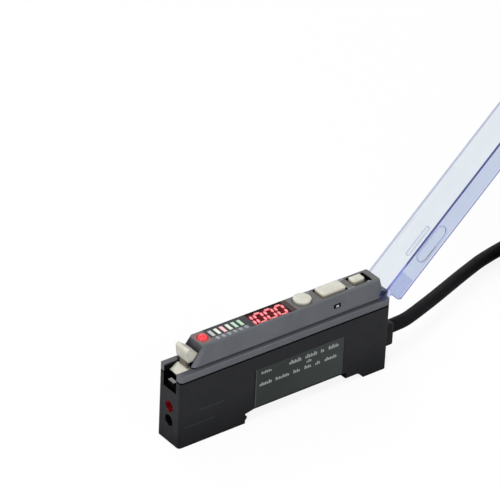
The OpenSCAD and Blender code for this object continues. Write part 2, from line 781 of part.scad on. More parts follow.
module digit(lit) {
    half_h = digit_h / 2 - bar_half;
    half_l = 0.326 * digit_pitch;
    upright = half_h - bar_space;
    slant_x = half_h / 2 * tan(digit_slant);
    level = 2 * half_l - bar_space;
    bars = [
        [2 * slant_x, half_h, 0, level], [half_l + slant_x, half_h / 2, 90 - digit_slant, upright],
        [half_l - slant_x, -half_h / 2, 90 - digit_slant, upright], [-2 * slant_x, -half_h, 0, level],
        [-half_l - slant_x, -half_h / 2, 90 - digit_slant, upright],
        [-half_l + slant_x, half_h / 2, 90 - digit_slant, upright], [0, 0, 0, level]
    ];
    for (i = [0:6]) if (lit[i] == 1)
        translate([bars[i][0], bars[i][1]]) rotate(bars[i][2]) digit_bar(bars[i][3]);
}

module digit_segments() color([0.95, 0.3, 0.36]) place()
    for (i = [0:len(lit_bars) - 1])
        translate([digit_x0 + i * digit_pitch, 0, digit_top_z]) linear_extrude(0.15) digit(lit_bars[i]);

module display_window() color([0.13, 0.1, 0.11, 0.6]) place() difference() {
    union() {
        block(window_x, window_x + window_l, window_w, top_z - window_t, top_z + 0.03);
        translate([strip_x, strip_y0, top_z - window_t])
            cube([window_x - strip_x + gap, window_w / 2 - strip_y0, window_t + 0.03]);
    }
    for (i = [0:5]) translate([bar_x + i * bar_pitch - bar_l / 2 - 0.03, strip_y0 + 0.27, top_z - window_t - eps])
        cube([bar_l + 0.06, bar_w + 0.06, window_t + 2 * eps]);
}

// Light pipes: each bar stands over its own lamp chip on the display board
bar_foot_z = display_top_z + 0.7;
module light_pipe(i) {
    translate([bar_x + i * bar_pitch - bar_l / 2, strip_y0 + 0.3, bar_foot_z])
        cube([bar_l, bar_w, top_z + 0.08 - bar_foot_z]);
}

module light_pipe_grey() color([0.62, 0.64, 0.64]) place() light_pipe(0);

module light_pipe_cream() color([0.86, 0.87, 0.8]) place() for (i = [1, 3]) light_pipe(i);

module light_pipe_red() color([0.93, 0.5, 0.52]) place() light_pipe(2);

module light_pipe_green() color([0.6, 0.85, 0.66]) place() for (i = [4, 5]) light_pipe(i);

module indicator_chips() color([0.9, 0.88, 0.7]) place()
    for (i = [0:5]) translate([bar_x + i * bar_pitch - bar_l / 2, strip_y0 + 0.6, display_top_z])
        cube([bar_l, bar_w - 0.6, bar_foot_z - display_top_z - 0.02]);

module output_led() color([0.95, 0.2, 0.24]) place() translate([lamp_x, 0, 0]) {
    dome_z = top_z + control_rise - lamp_r;
    stem_r = 0.85;
    stem_top_z = cavity_top_z - 0.4;
    rotate_extrude() polygon(concat(
        [[0, display_top_z], [stem_r, display_top_z], [stem_r, stem_top_z], [lamp_r, stem_top_z]],
        arc([0, dome_z], lamp_r, 0, 90, 10)
    ));
}

// Round push button with a crowned cap and a flange that keeps it in
switch_top_z = display_top_z + 1.1;
set_foot_z = switch_top_z + set_travel + gap;
module set_button() color([0.88, 0.87, 0.8]) place() translate([set_x, 0, 0]) {
    flange_l = 6.6;
    flange_top_z = cavity_top_z - 0.15;
    cap_top_z = top_z + control_rise;
    rotate_extrude() polygon(concat(
        [[0, set_foot_z], [cavity_top_w / 2 - gap, set_foot_z], [cavity_top_w / 2 - gap, cavity_top_z - 0.5]],
        [[set_r, cavity_top_z - 0.5]],
        arc([set_r - 0.35, cap_top_z - 0.45], 0.35, 0, 80),
        [[1.2, cap_top_z - 0.02], [0, cap_top_z]]
    ));
    block(-flange_l / 2, flange_l / 2, cavity_top_w - 0.6, set_foot_z, flange_top_z);
}

module push_switch(x) {
    body_l = 3.4;
    body_h = 0.8;
    block(x - body_l / 2, x + body_l / 2, body_l, display_top_z, display_top_z + body_h);
    translate([x, 0, display_top_z + body_h]) cylinder(r = 0.8, h = switch_top_z - display_top_z - body_h);
}

module set_switch() color([0.3, 0.3, 0.32]) place() push_switch(set_x);

// Long rocker on two pins, with rounded ends and a shallow dip in the middle
rocker_reach = 3;
module adjust_rocker() color([0.88, 0.87, 0.8]) place() {
    x0 = rocker_x - rocker_l / 2;
    x1 = rocker_x + rocker_l / 2;
    rise_z = top_z + control_rise;
    foot_z = cavity_top_z - 0.35;
    end_r = 0.6;
    dip = 0.15;
    foot_r = 0.8;
    intersection() {
        across(rocker_w) polygon(concat(
            [[x0, foot_z]], arc([x0 + end_r, rise_z - end_r], end_r, 180, 90),
            [[rocker_x, rise_z - dip]],
            arc([x1 - end_r, rise_z - end_r], end_r, 90, 0), [[x1, foot_z]]
        ));
        along(x0 - 1, x1 + 1) polygon(mirrored(concat(
            [[rocker_w / 2, foot_z - 1]], arc([rocker_w / 2 - end_r, rise_z - end_r], end_r, 0, 90)
        )));
        translate([0, 0, foot_z - 1]) linear_extrude(5)
            polygon(round_rect(x0, x1, -rocker_w / 2, rocker_w / 2, 0.9));
    }
    rod_y(rocker_x, rocker_pin_z, rocker_pin_r, rocker_pin_w);
    for (s = [-1, 1]) translate([rocker_x + s * rocker_reach, 0, set_foot_z])
        cylinder(r = foot_r, h = foot_z - set_foot_z + 0.2);
}

module rocker_switches() color([0.3, 0.3, 0.32]) place()
    for (s = [-1, 1]) push_switch(rocker_x + s * rocker_reach);

// Slide knob with a rounded cap, and the switch under it
mode_body_h = 1.6;
mode_stem_w = 1.4;
mode_stem_l = 1.4;
knob_x = slot_x + 0.25;
module mode_knob() color([0.88, 0.87, 0.8]) place() {
    base_z = cavity_top_z + 0.2;
    cap_z = top_z + control_rise + 0.1;
    stem_x = knob_x + knob_l / 2 - mode_stem_l / 2;
    end_r = 0.8;
    side_r = 0.9;
    intersection() {
        across(knob_w) polygon(concat(
            [[knob_x, base_z]], arc([knob_x + end_r, cap_z - end_r], end_r, 180, 90),
            arc([knob_x + knob_l - end_r, cap_z - end_r], end_r, 90, 0), [[knob_x + knob_l, base_z]]
        ));
        along(knob_x - 1, knob_x + knob_l + 1) polygon(mirrored(concat(
            [[knob_w / 2, base_z - 1]], arc([knob_w / 2 - side_r, cap_z - side_r], side_r, 0, 90)
        )));
        translate([0, 0, base_z - 1]) linear_extrude(5)
            polygon(round_rect(knob_x, knob_x + knob_l, -knob_w / 2, knob_w / 2, side_r));
    }
    block(stem_x, stem_x + mode_stem_l, mode_stem_w, display_top_z + 0.8, base_z + gap);
}

module mode_switch() color([0.14, 0.14, 0.15]) place() {
    stem_x0 = knob_x + knob_l / 2 - mode_stem_l / 2 - 0.2;
    travel = slot_l - knob_l - 0.5;
    difference() {
        block(slot_x - 0.4, slot_x + slot_l + 0.4, cavity_top_w - 0.4, display_top_z, display_top_z + mode_body_h);
        block(stem_x0, stem_x0 + mode_stem_l + travel + 0.4, mode_stem_w + 0.3, display_top_z + 0.6, top_z);
    }
}

module cable_gland() color([0.12, 0.12, 0.13]) place() {
    neck_z0 = boss_z0 + 0.2 + seat_gap;
    boss_x1 = case_l + boss_l;
    difference() {
        union() {
            intersection() {
                across(boss_w) polygon(concat(
                    [[case_l + seat_gap, boss_z0]],
                    arc([boss_x1 - 0.8, boss_z0 + 0.8], 0.8, 270, 360),
                    arc([boss_x1 - 1.2, boss_z0 + boss_h - 1.2], 1.2, 0, 60),
                    [[case_l + 0.7, boss_z0 + boss_h + 0.4], [case_l + seat_gap, boss_z0 + boss_h + 1.2]]
                ));
                linear_extrude(top_z) polygon(round_rect(case_l - 3, boss_x1, -boss_w / 2, boss_w / 2, 1.4));
            }
            block(gland_in_x + gap, case_l + gap, neck_w - 2 * seat_gap, neck_z0, neck_z0 + neck_h - 2 * seat_gap);
            block(gland_in_x, gland_in_x + flange_t, flange_w, boss_z0 - 0.5, boss_z0 + boss_h);
        }
        rod_x(gland_in_x - eps, boss_x1 + eps, 0, cable_z, cable_bore_r);
    }
}

module inner_leads() color([0.35, 0.3, 0.3]) place()
    for (s = [-1, 0, 1]) rod_x(main_x1 - 5, gland_in_x + gap - 0.02, main_y - lead_r - 0.02, cable_z + 1.3 * s, lead_r);

module cable() color([0.13, 0.13, 0.14]) place() tube(cable_route, cable_r, 10);

// Plan of the hank's outer or inner edge
module hank_plan(r) {
    square([run_l, 2 * r], center = true);
    for (s = [-1, 1]) translate([s * run_l / 2, 0]) circle(r);
}

module cable_coil() color([0.13, 0.13, 0.14]) place() translate([hank_x0 + run_l / 2, hank_y, hank_z])
    linear_extrude(hank_h) difference() {
        hank_plan(fold_r + hank_half);
        hank_plan(fold_r - hank_half);
    }

// Points of the tail, rising from the outer turn to the groove between the two turns of the top row
tail_points = concat(
    [for (i = [0:tail_steps])
        let (share = (1 - cos(180 * i / tail_steps)) / 2, a = tail_in_a + (90 - tail_in_a) * i / tail_steps)
        let (r = fold_r + cable_r * (1 - share), z = tail_in_z + (tail_out_z - tail_in_z) * share)
        [hank_x0 + r * cos(a), hank_y + r * sin(a), z]],
    [[hank_x0 + tail_end_l, hank_y + fold_r, tail_out_z]]
);

module cable_tail() color([0.13, 0.13, 0.14]) place() tube(tail_points, cable_r, 10);

module coil_ties() color([0.1, 0.1, 0.11]) place()
    for (t = tie_places) translate([t[0], hank_y, 0]) rotate(t[1]) rotate([90, 0, 0])
        linear_extrude(tie_w, center = true) difference() {
            polygon(round_rect(fold_r - hank_half - 1.2, fold_r + hank_half + 1.2, 0, hank_top_z + tie_t + 0.2, 1.1));
            polygon(round_rect(fold_r - hank_half - 0.7, fold_r + hank_half + 0.7, tie_t, hank_top_z + 0.2, 0.6));
        }

// Leads at the free end, side by side on top of the hank
tail_end = tail_points[tail_steps + 1];
tail_dir = [1, 0, 0];
tail_side = unit(cross([0, 0, 1], tail_dir));
lead_steps = 8;
function lead_points(s, reach) = [for (i = [0:lead_steps])
    let (f = reach * i / lead_steps)
    let (z = lead_z + (tail_out_z - lead_z) * pow(1 - f, 3))
    [tail_end[0], tail_end[1], z] + tail_dir * (lead_l * f + 0.05) + tail_side * s * (1.25 + lead_spread * f * f)
];

module lead(s) {
    tube(lead_points(s, 1), lead_r, 8);
}

module lead_brown() color([0.35, 0.2, 0.12]) place() lead(-1);

module lead_blue() color([0.12, 0.25, 0.6]) place() lead(0);

module lead_black() color([0.08, 0.08, 0.09]) place() lead(1);

module lead_tips() color([0.75, 0.75, 0.76]) place()
    for (s = [-1, 0, 1]) {
        end = lead_points(s, 1)[lead_steps];
        dir = heading(lead_points(s, 1), lead_steps);
        translate([end[0], end[1], lead_z]) rotate([0, 90, atan2(dir[1], dir[0])]) translate([0, 0, 0.02])
            cylinder(r = lead_tip_r, h = lead_tip_l);
    }

lower_case();
upper_case();
rating_label();
dust_cover();
lock_lever();
lever_pin();
fibre_clamp();
optic_holder();
emitter_led();
receiver_diode();
main_board();
main_chips();
board_header();
display_board();
digit_display();
digit_segments();
display_window();
indicator_chips();
light_pipe_grey();
light_pipe_cream();
light_pipe_red();
light_pipe_green();
output_led();
set_button();
set_switch();
adjust_rocker();
rocker_switches();
mode_knob();
mode_switch();
cable_gland();
inner_leads();
cable();
cable_coil();
cable_tail();
coil_ties();
lead_brown();
lead_blue();
lead_black();
lead_tips();
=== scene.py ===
"""Looks of a slim fibre optic sensor amplifier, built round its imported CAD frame."""
import math

import bmesh
import bpy
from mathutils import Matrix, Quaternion, Vector


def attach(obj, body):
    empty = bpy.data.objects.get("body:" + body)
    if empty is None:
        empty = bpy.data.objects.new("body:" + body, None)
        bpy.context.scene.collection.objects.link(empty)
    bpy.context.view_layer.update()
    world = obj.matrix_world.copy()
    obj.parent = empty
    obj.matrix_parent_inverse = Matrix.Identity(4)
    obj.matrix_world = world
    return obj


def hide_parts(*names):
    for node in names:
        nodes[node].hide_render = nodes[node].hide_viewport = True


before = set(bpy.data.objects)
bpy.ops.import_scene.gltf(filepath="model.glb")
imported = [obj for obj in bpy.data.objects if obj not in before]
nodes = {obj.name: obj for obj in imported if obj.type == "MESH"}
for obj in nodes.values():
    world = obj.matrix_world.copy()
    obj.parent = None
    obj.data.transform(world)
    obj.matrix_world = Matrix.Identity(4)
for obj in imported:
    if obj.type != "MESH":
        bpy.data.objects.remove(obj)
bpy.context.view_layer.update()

MM = 0.001

# Places on the case in millimetres: X from its fibre face, Y from its middle, Z from its feet
RAIL_SEAT = Vector((39.95, 0, 3.7))
TOP_Z = 29.7
GROOVE_Z = 23.5
FIBRE_Z = 11.3
LOW_FIBRE_Z = 6.8
FUNNEL_R = 1.75
BAY_HALF = 2.83
SNAP_X = 53.7
SNAP_Z = 26.4
SNAP_FLOOR_Y = 3.66
LAMP_X = 10.4
LABEL_X = 25.5
LABEL_Y = -4.85
DIGITS_X = 32.35
HINGE_X = 69.8
HINGE_Z = 24.9
COVER_TURN_DEG = 137
# Lines that show how far the fibres go in: both ends and the height
DEPTH_MARKS = [(6.5, 14.9, 10.425), (1.8, 12.4, 6.325)]

# Nearly all values of a noise texture lie between these
NOISE_LOW = 0.3
NOISE_HIGH = 0.7


def row(x, y, z):
    """A place on the case in millimetres as a point of the frame in metres."""
    return (Vector((x, y, z)) - RAIL_SEAT) * MM


def at(axis, place):
    """A place along one axis of the case in millimetres as metres of the frame."""
    return (place - RAIL_SEAT["XYZ".index(axis)]) * MM


def paint(red, green, blue):
    """A colour written as it looks on a screen, from 0 to 255, as the linear colour that a shader takes."""
    def linear(value):
        share = value / 255
        if share <= 0.04045:
            return share / 12.92
        return ((share + 0.055) / 1.055) ** 2.4
    return (linear(red), linear(green), linear(blue), 1)


# Camera at the photograph's viewing angle
CAMERA_PLACE = (-0.528878, -0.648955, 0.562915)
CAMERA_AIM = Vector((0.52748056, 0.66582923, -0.52767007))
CAMERA_ROLL_DEG = 2.747

camera_data = bpy.data.cameras.new("photo_camera")
camera_data.sensor_width = 36
camera_data.lens = 263.1
camera_data.clip_start = 0.05
camera_data.clip_end = 50
camera = bpy.data.objects.new("photo_camera", camera_data)
bpy.context.scene.collection.objects.link(camera)
camera.location = CAMERA_PLACE
camera_roll = Quaternion((0, 0, 1), math.radians(CAMERA_ROLL_DEG))
camera.rotation_mode = "QUATERNION"
camera.rotation_quaternion = CAMERA_AIM.to_track_quat("-Z", "Y") @ camera_roll
bpy.context.scene.camera = camera


# Materials: colours are written from 0 to 255, masks go from 0 to 1
class Paint:
    """A node material with one main shader, and the few patterns and masks that the pieces use."""

    def __init__(self, name):
        self.material = bpy.data.materials.new(name)
        self.material.use_nodes = True
        self.tree = self.material.node_tree
        self.tree.nodes.clear()
        self.output = self.add("ShaderNodeOutputMaterial")
        self.shader = self.add("ShaderNodeBsdfPrincipled")
        self.link(self.shader.outputs["BSDF"], self.output.inputs["Surface"])
        self.place = self.add("ShaderNodeTexCoord").outputs["Object"]
        self.split = self.add("ShaderNodeSeparateXYZ")
        self.link(self.place, self.split.inputs["Vector"])

    def add(self, kind):
        """A new node."""
        return self.tree.nodes.new(kind)

    def link(self, start, end):
        """Joins an output of one node to an input of another."""
        self.tree.links.new(start, end)

    def set(self, **values):
        """Gives sockets of the main shader a value that is the same all over."""
        for name, value in values.items():
            self.shader.inputs[name.replace("_", " ")].default_value = value

    def feed(self, name, value):
        """Joins a value that varies to a socket of the main shader."""
        self.link(value, self.shader.inputs[name])

    def noise(self, size_mm, detail, stretch=None):
        """A cloud pattern whose features are about size_mm across."""
        texture = self.add("ShaderNodeTexNoise")
        texture.inputs["Scale"].default_value = 1 / (size_mm * MM)
        texture.inputs["Detail"].default_value = detail
        place = self.place
        if stretch:
            mapping = self.add("ShaderNodeMapping")
            mapping.inputs["Scale"].default_value = stretch
            self.link(place, mapping.inputs["Vector"])
            place = mapping.outputs["Vector"]
        self.link(place, texture.inputs["Vector"])
        return texture.outputs["Fac"]

    def ramp(self, value, low, high, first, last):
        """The first colour at the low value, going to the last colour at the high value."""
        node = self.add("ShaderNodeValToRGB")
        for element, place, colour in zip(node.color_ramp.elements, (low, high), (first, last)):
            element.position = place
            element.color = paint(*colour)
        self.link(value, node.inputs["Fac"])
        return node.outputs["Color"]

    def drift(self, size_mm, detail, dark, light):
        """A cloudy change of tone between two colours."""
        return self.ramp(self.noise(size_mm, detail), NOISE_LOW, NOISE_HIGH, dark, light)

    def span(self, value, low, high, to_low, to_high):
        """The value from low to high, mapped to another range."""
        node = self.add("ShaderNodeMapRange")
        for name, number in (("From Min", low), ("From Max", high), ("To Min", to_low), ("To Max", to_high)):
            node.inputs[name].default_value = number
        self.link(value, node.inputs["Value"])
        return node.outputs["Result"]

    def calc(self, operation, first, second=0):
        """One step of arithmetic on values or numbers."""
        node = self.add("ShaderNodeMath")
        node.operation = operation
        for slot, value in enumerate((first, second)):
            if isinstance(value, (int, float)):
                node.inputs[slot].default_value = value
            else:
                self.link(value, node.inputs[slot])
        return node.outputs["Value"]

    def both(self, first, *others):
        """Several masks at once, as their product."""
        for other in others:
            first = self.calc("MULTIPLY", first, other)
        return first

    def either(self, first, *others):
        """The strongest of several masks."""
        for other in others:
            first = self.calc("MAXIMUM", first, other)
        return first

    def weigh(self, first, first_share, second, second_share):
        """The sum of two values, each times its share."""
        return self.calc(
            "ADD", self.calc("MULTIPLY", first, first_share), self.calc("MULTIPLY", second, second_share),
        )

    def away(self, first, second):
        """How far a place is from a middle, from its steps along two axes."""
        square = self.calc("ADD", self.calc("MULTIPLY", first, first), self.calc("MULTIPLY", second, second))
        return self.calc("SQRT", square)

    def within(self, value, middle, half, soft):
        """1 where the value lies within half of the middle, falling to 0 over the soft width."""
        off = self.calc("ABSOLUTE", self.calc("SUBTRACT", value, middle))
        return self.span(off, half, half + soft, 1, 0)

    def axis(self, name):
        """The place along one axis, in metres of the frame."""
        return self.split.outputs[name]

    def rise(self, axis, low, high, share=1):
        """0 before low, share after high, along one axis of the case in millimetres."""
        return self.span(self.axis(axis), at(axis, low), at(axis, high), 0, share)

    def fall(self, axis, low, high, share=1):
        """share before low, 0 after high, along one axis of the case in millimetres."""
        return self.span(self.axis(axis), at(axis, low), at(axis, high), share, 0)

    def band(self, axis, middle, half, soft):
        """1 within half of the middle, along one axis of the case in millimetres."""
        return self.within(self.axis(axis), at(axis, middle), half * MM, soft * MM)

    def outside(self, half, soft):
        """1 further from the case's middle plane than half, on both sides, in millimetres."""
        return self.span(self.calc("ABSOLUTE", self.axis("Y")), half * MM, (half + soft) * MM, 0, 1)

    def crevice(self, reach_mm):
        """Low in corners, 1 on open faces."""
        node = self.add("ShaderNodeAmbientOcclusion")
        node.samples = 8
        node.inputs["Distance"].default_value = reach_mm * MM
        return node.outputs["AO"]

    def rounded(self, radius_mm, samples):
        """The direction of the surface as if its edges were rounded."""
        node = self.add("ShaderNodeBevel")
        node.samples = samples
        node.inputs["Radius"].default_value = radius_mm * MM
        return node.outputs["Normal"]

    def blend(self, share, first, second):
        """The first colour where the share is 0, going to the second where it is 1."""
        node = self.add("ShaderNodeMix")
        node.data_type = "RGBA"
        self.link(share, node.inputs["Factor"])
        for name, value in (("A", first), ("B", second)):
            socket = [s for s in node.inputs if s.name == name and s.type == "RGBA"][0]
            if isinstance(value, tuple):
                socket.default_value = paint(*value)
            else:
                self.link(value, socket)
        return [s for s in node.outputs if s.type == "RGBA"][0]

    def bump(self, height, depth_mm, strength=1.0, edge_mm=0):
        """Fine relief, and edges that look rounded where edge_mm is given."""
        node = self.add("ShaderNodeBump")
        if edge_mm:
            self.link(self.rounded(edge_mm, 6), node.inputs["Normal"])
        node.inputs["Strength"].default_value = strength
        node.inputs["Distance"].default_value = depth_mm * MM
        self.link(height, node.inputs["Height"])
        self.feed("Normal", node.outputs["Normal"])

    def rough(self, value, low, high):
        """Roughness that follows a noise from low to high."""
        self.feed("Roughness", self.span(value, NOISE_LOW, NOISE_HIGH, low, high))


def moulded(
    name, dark, light, rough=(0.42, 0.58), specular=0.4, grain_mm=0.16, depth_mm=0.012, cloud_mm=6, edge_mm=0,
):
    """Moulded plastic: a slow drift of tone, a fine spark texture and uneven gloss."""
    made = Paint(name)
    made.set(Specular_IOR_Level=specular)
    made.tone = made.drift(cloud_mm, 4, dark, light)
    made.feed("Base Color", made.tone)
    made.rough(made.noise(cloud_mm / 3, 5), *rough)
    made.bump(made.noise(grain_mm, 2), depth_mm, edge_mm=edge_mm)
    return made


def lit_plastic(name, dark, light, glow, strength, rough=(0.18, 0.3)):
    """Frosted plastic with a lamp under it."""
    made = moulded(name, dark, light, rough, specular=0.5, grain_mm=0.3, depth_mm=0.004, cloud_mm=1.2)
    made.set(Emission_Color=paint(*glow), Emission_Strength=strength)
    return made


def charcoal_case():
    """Near-black plastic with painted shade: blacker in the end slot, the fibre holes, under the flange and
    towards the feet; painted highlights on the depth lines and a painted red glow in the upper fibre hole.
    """
    shine = 0.3
    made = moulded(
        "charcoal_case", (22, 23, 28), (27, 28, 33), (0.4, 0.55), shine,
        grain_mm=0.2, cloud_mm=7, edge_mm=0.25,
    )
    # Painted shade: darker towards the feet
    low = made.fall("Z", 0, 11, 0.7)
    tone = made.blend(low, made.tone, (9, 10, 12))
    near = made.fall("Y", -4.8, -4.7)
    # The depth lines are painted lighter: a painted highlight along them
    for low_x, high_x, mark_z in DEPTH_MARKS:
        on_line = made.band("X", (low_x + high_x) / 2, (high_x - low_x) / 2, 0.05)
        line_highlight = made.both(on_line, made.band("Z", mark_z, 0.12, 0.06), near)
        tone = made.blend(line_highlight, tone, (53, 55, 60))
    # Painted shadow under the flange, and painted black shade in the end slot and on the walls of the fibre
    # holes
    flange_shadow = made.rise("Z", 20.55, 20.8)
    slot = made.both(made.rise("Z", 16.8, 16.86), made.band("Y", 0, BAY_HALF, 0.05), made.fall("X", 8.4, 8.6))
    beside_label = made.both(made.band("X", LABEL_X - 0.2, 0.2, 0.1), made.band("Z", 10.2, 6, 0.2), near)
    behind_face = made.rise("X", 0.01, 0.05)

    def eye(eye_z):
        """1 on the wall of a fibre hole."""
        from_middle = made.away(made.axis("Y"), made.calc("SUBTRACT", made.axis("Z"), at("Z", eye_z)))
        return made.both(made.span(from_middle, (FUNNEL_R - 0.15) * MM, FUNNEL_R * MM, 1, 0), behind_face)

    lit_eye = eye(FIBRE_Z)
    label_line = made.calc("MULTIPLY", beside_label, 0.6)
    black = made.either(flange_shadow, slot, lit_eye, eye(LOW_FIBRE_Z), label_line)
    made.feed("Base Color", made.blend(black, tone, (7, 7, 8)))
    dull = made.either(black, made.calc("MULTIPLY", low, 0.6))
    made.feed("Specular IOR Level", made.span(dull, 0, 1, shine, 0))
    # Painted red light on the wall of the upper fibre hole, standing in for the emitter's light
    patch = made.span(made.noise(0.9, 2), 0.35, 0.65, 0.35, 1)
    made.set(Emission_Color=paint(190, 20, 28))
    made.feed("Emission Strength", made.calc("MULTIPLY", made.both(lit_eye, patch), 0.25))
    return made


def grey_case():
    """Grey plastic with painted light: warmer on top with a painted tint of the light, painted shade on the
    front slope and in its recesses, a painted glint on the snap pip, and painted red light round the lamp.
    """
    shine = 0.35
    made = moulded(
        "grey_case", (95, 98, 104), (104, 107, 113), (0.42, 0.56), shine,
        grain_mm=0.2, cloud_mm=8, edge_mm=0.4,
    )
    # Painted warm tint of the light on the top face
    tone = made.blend(made.rise("Z", TOP_Z - 0.1, TOP_Z - 0.02, 0.85), made.tone, (95, 95, 92))
    # Painted shade on the front slope above the lever
    slope = made.both(
        made.band("Y", 0, 3, 0.3), made.fall("X", 10, 10.2, 0.5), made.band("Z", 26.6, 2.6, 0.3),
    )
    tone = made.blend(slope, tone, (66, 62, 64))
    # Painted red light round the lamp
    from_lamp = made.away(made.calc("SUBTRACT", made.axis("X"), at("X", LAMP_X)), made.axis("Y"))
    lamp_glow = made.both(made.span(from_lamp, 1.5 * MM, 3 * MM, 0.5, 0), made.band("Z", TOP_Z, 0.1, 0.4))
    tone = made.blend(lamp_glow, tone, (176, 84, 88))
    # Painted glint on the snap pip
    pip = made.both(
        made.band("X", SNAP_X + 0.2, 0.6, 0.1), made.band("Z", SNAP_Z, 0.35, 0.1),
        made.outside(SNAP_FLOOR_Y, 0.04),
    )
    tone = made.blend(pip, tone, (206, 207, 212))
    # Painted shade in the groove, with a black painted line of shade along its top
    tone = made.blend(made.band("Z", GROOVE_Z, 0.25, 0.2), tone, (70, 71, 76))
    groove_shade_line = made.both(made.band("Z", GROOVE_Z + 0.25, 0.12, 0.1), made.outside(3, 0.1))
    # Painted black shade in the lever bay, the wells round the controls and the snap recess
    bay = made.both(made.band("Y", 0, BAY_HALF, 0.05), made.fall("X", 8.3, 8.5), made.fall("Z", 22.6, 24.5))
    well = made.both(
        made.fall("Z", TOP_Z - 0.25, TOP_Z - 0.1), made.band("Y", 0, 2.5, 0.1), made.band("X", 55, 13.5, 0.1),
    )
    snap = made.both(
        made.band("X", SNAP_X, 1.22, 0.02), made.band("Z", SNAP_Z, 0.67, 0.02),
        made.band("Y", 0, SNAP_FLOOR_Y, 0.04),
    )
    dark = made.either(well, bay, snap, groove_shade_line)
    made.feed("Base Color", made.blend(dark, tone, (20, 20, 22)))
    made.feed("Specular IOR Level", made.span(dark, 0, 1, shine, 0))
    return made


def clamp_grey():
    """Grey plastic, with painted shade that makes its foot, deep in the end slot, black."""
    shine = 0.4
    made = moulded("clamp_grey", (140, 140, 146), (156, 156, 162), (0.35, 0.5), shine)
    # Painted shade: black below the head, deep in the end slot
    foot = made.fall("Z", 19.32, 19.4)
    made.feed("Base Color", made.blend(foot, made.tone, (9, 9, 10)))
    made.feed("Specular IOR Level", made.span(foot, 0, 1, shine, 0.05))
    return made


def ivory(name, low_z, high_z, share, deep, edge_mm):
    """Ivory plastic, a little see-through, with shade in its corners and in the band between two heights."""
    made = moulded(
        name, (204, 202, 189), (220, 218, 206), (0.32, 0.46), grain_mm=0.25, depth_mm=0.006, cloud_mm=2.5,
        edge_mm=edge_mm,
    )
    made.set(Subsurface_Weight=0.15, Subsurface_Scale=0.6 * MM, Subsurface_Radius=(1, 0.8, 0.55))
    band = made.band("Z", (low_z + high_z) / 2, (high_z - low_z) / 2, 0.5)
    corners = made.span(made.crevice(1.6), 0.2, 0.75, 1, 0)
    shade = made.either(made.calc("MULTIPLY", band, share), corners)
    made.feed("Base Color", made.blend(shade, made.tone, deep))
    return made


def clear_cover():
    """Clear plastic: pale walls, painted blue where one looks into an edge, fine lines round the recesses,
    and a painted glow at the near free edge.
    """
    made = Paint("clear_cover")
    made.set(Transmission_Weight=1, IOR=1.12, Coat_Weight=0.5, Coat_Roughness=0.04, Coat_IOR=1.49)
    made.bump(made.noise(5, 2), 0.02, 0.35)
    # Places on the shut cover, from its hinge
    turn = math.radians(COVER_TURN_DEG)
    off_x = made.calc("SUBTRACT", made.axis("X"), at("X", HINGE_X))
    off_z = made.calc("SUBTRACT", made.axis("Z"), at("Z", HINGE_Z))
    x = made.weigh(off_x, math.cos(turn), off_z, -math.sin(turn))
    y = made.axis("Y")
    z = made.weigh(off_x, math.sin(turn), off_z, math.cos(turn))

    def loop(across, middle_x, half_l, middle, radius, line):
        """A line round a long recess with round ends, in millimetres."""
        off_middle = made.calc("ABSOLUTE", made.calc("SUBTRACT", x, middle_x * MM))
        past_straight = made.calc("MAXIMUM", made.calc("SUBTRACT", off_middle, (half_l - radius) * MM), 0)
        from_line = made.away(past_straight, made.calc("SUBTRACT", across, middle * MM))
        return made.within(from_line, radius * MM, line * MM, line * MM)

    near = made.fall("Y", -4.15, -4.05)
    by_hinge = made.both(near, made.span(x, -8.2 * MM, -7.9 * MM, 0, 1))
    free_edge = made.span(z, -0.42 * MM, -0.3 * MM, 1, 0)
    near_fold = made.both(made.span(z, 5.6 * MM, 5.9 * MM, 0, 1), made.fall("Y", -4.5, -4.2))
    rear_edge = made.both(
        made.within(x, -1.25 * MM, 0.15 * MM, 0.15 * MM), made.span(z, 2 * MM, 2.4 * MM, 0, 1),
    )
    side_loop = made.both(loop(z, -19.1, 6, 2.6, 2.2, 0.1), near)
    top_loop = made.both(loop(y, -17.9, 5, 3.2, 0.6, 0.08), made.span(z, 6 * MM, 6.05 * MM, 0, 1))
    tone = made.blend(near, made.drift(9, 3, (229, 235, 240), (233, 239, 243)), (222, 227, 244))
    tone = made.blend(by_hinge, tone, (196, 203, 236))
    # Painted blue where one looks into an edge, standing in for light led along the walls
    edge_tone = made.blend(near, (160, 168, 196), (92, 98, 168))
    tone = made.blend(made.either(free_edge, near_fold, rear_edge), tone, edge_tone)
    made.feed("Base Color", made.blend(made.either(side_loop, top_loop), tone, (176, 182, 208)))
    # Painted glow at the near free edge, standing in for light led along the walls
    painted_edge_glow = made.both(free_edge, near, made.span(x, -4 * MM, -2 * MM, 1, 0))
    made.set(Emission_Color=paint(112, 120, 200))
    made.feed("Emission Strength", made.span(painted_edge_glow, 0, 1, 0, 0.3))
    # The hinge ears are frosted
    ear = made.span(made.away(x, z), 2.2 * MM, 3 * MM, 0.4, 0)
    fine = made.span(made.noise(4, 4), NOISE_LOW, NOISE_HIGH, 0.01, 0.03)
    made.feed("Roughness", made.either(ear, fine))
    tint = made.add("ShaderNodeVolumeAbsorption")
    tint.inputs["Color"].default_value = (0.42, 0.5, 0.86, 1)
    tint.inputs["Density"].default_value = 40
    made.link(tint.outputs["Volume"], made.output.inputs["Volume"])
    return made


def smoked_window():
    """Smoked and clear over the digits, printed grey round the bars and brown behind the digits."""
    made = Paint("smoked_window")
    made.set(IOR=1.12)
    smoke = made.drift(2, 3, (136, 120, 120), (146, 130, 130))
    print_tone = made.drift(2, 3, (66, 67, 70), (74, 75, 78))
    print_tone = made.blend(made.rise("X", 38.4, 38.7), print_tone, (82, 69, 66))
    clear = made.band("X", DIGITS_X, 6.1, 0.2)
    made.feed("Base Color", made.blend(clear, print_tone, smoke))
    made.feed("Transmission Weight", clear)
    made.feed("Roughness", made.span(clear, 0, 1, 0.45, 0.05))
    return made


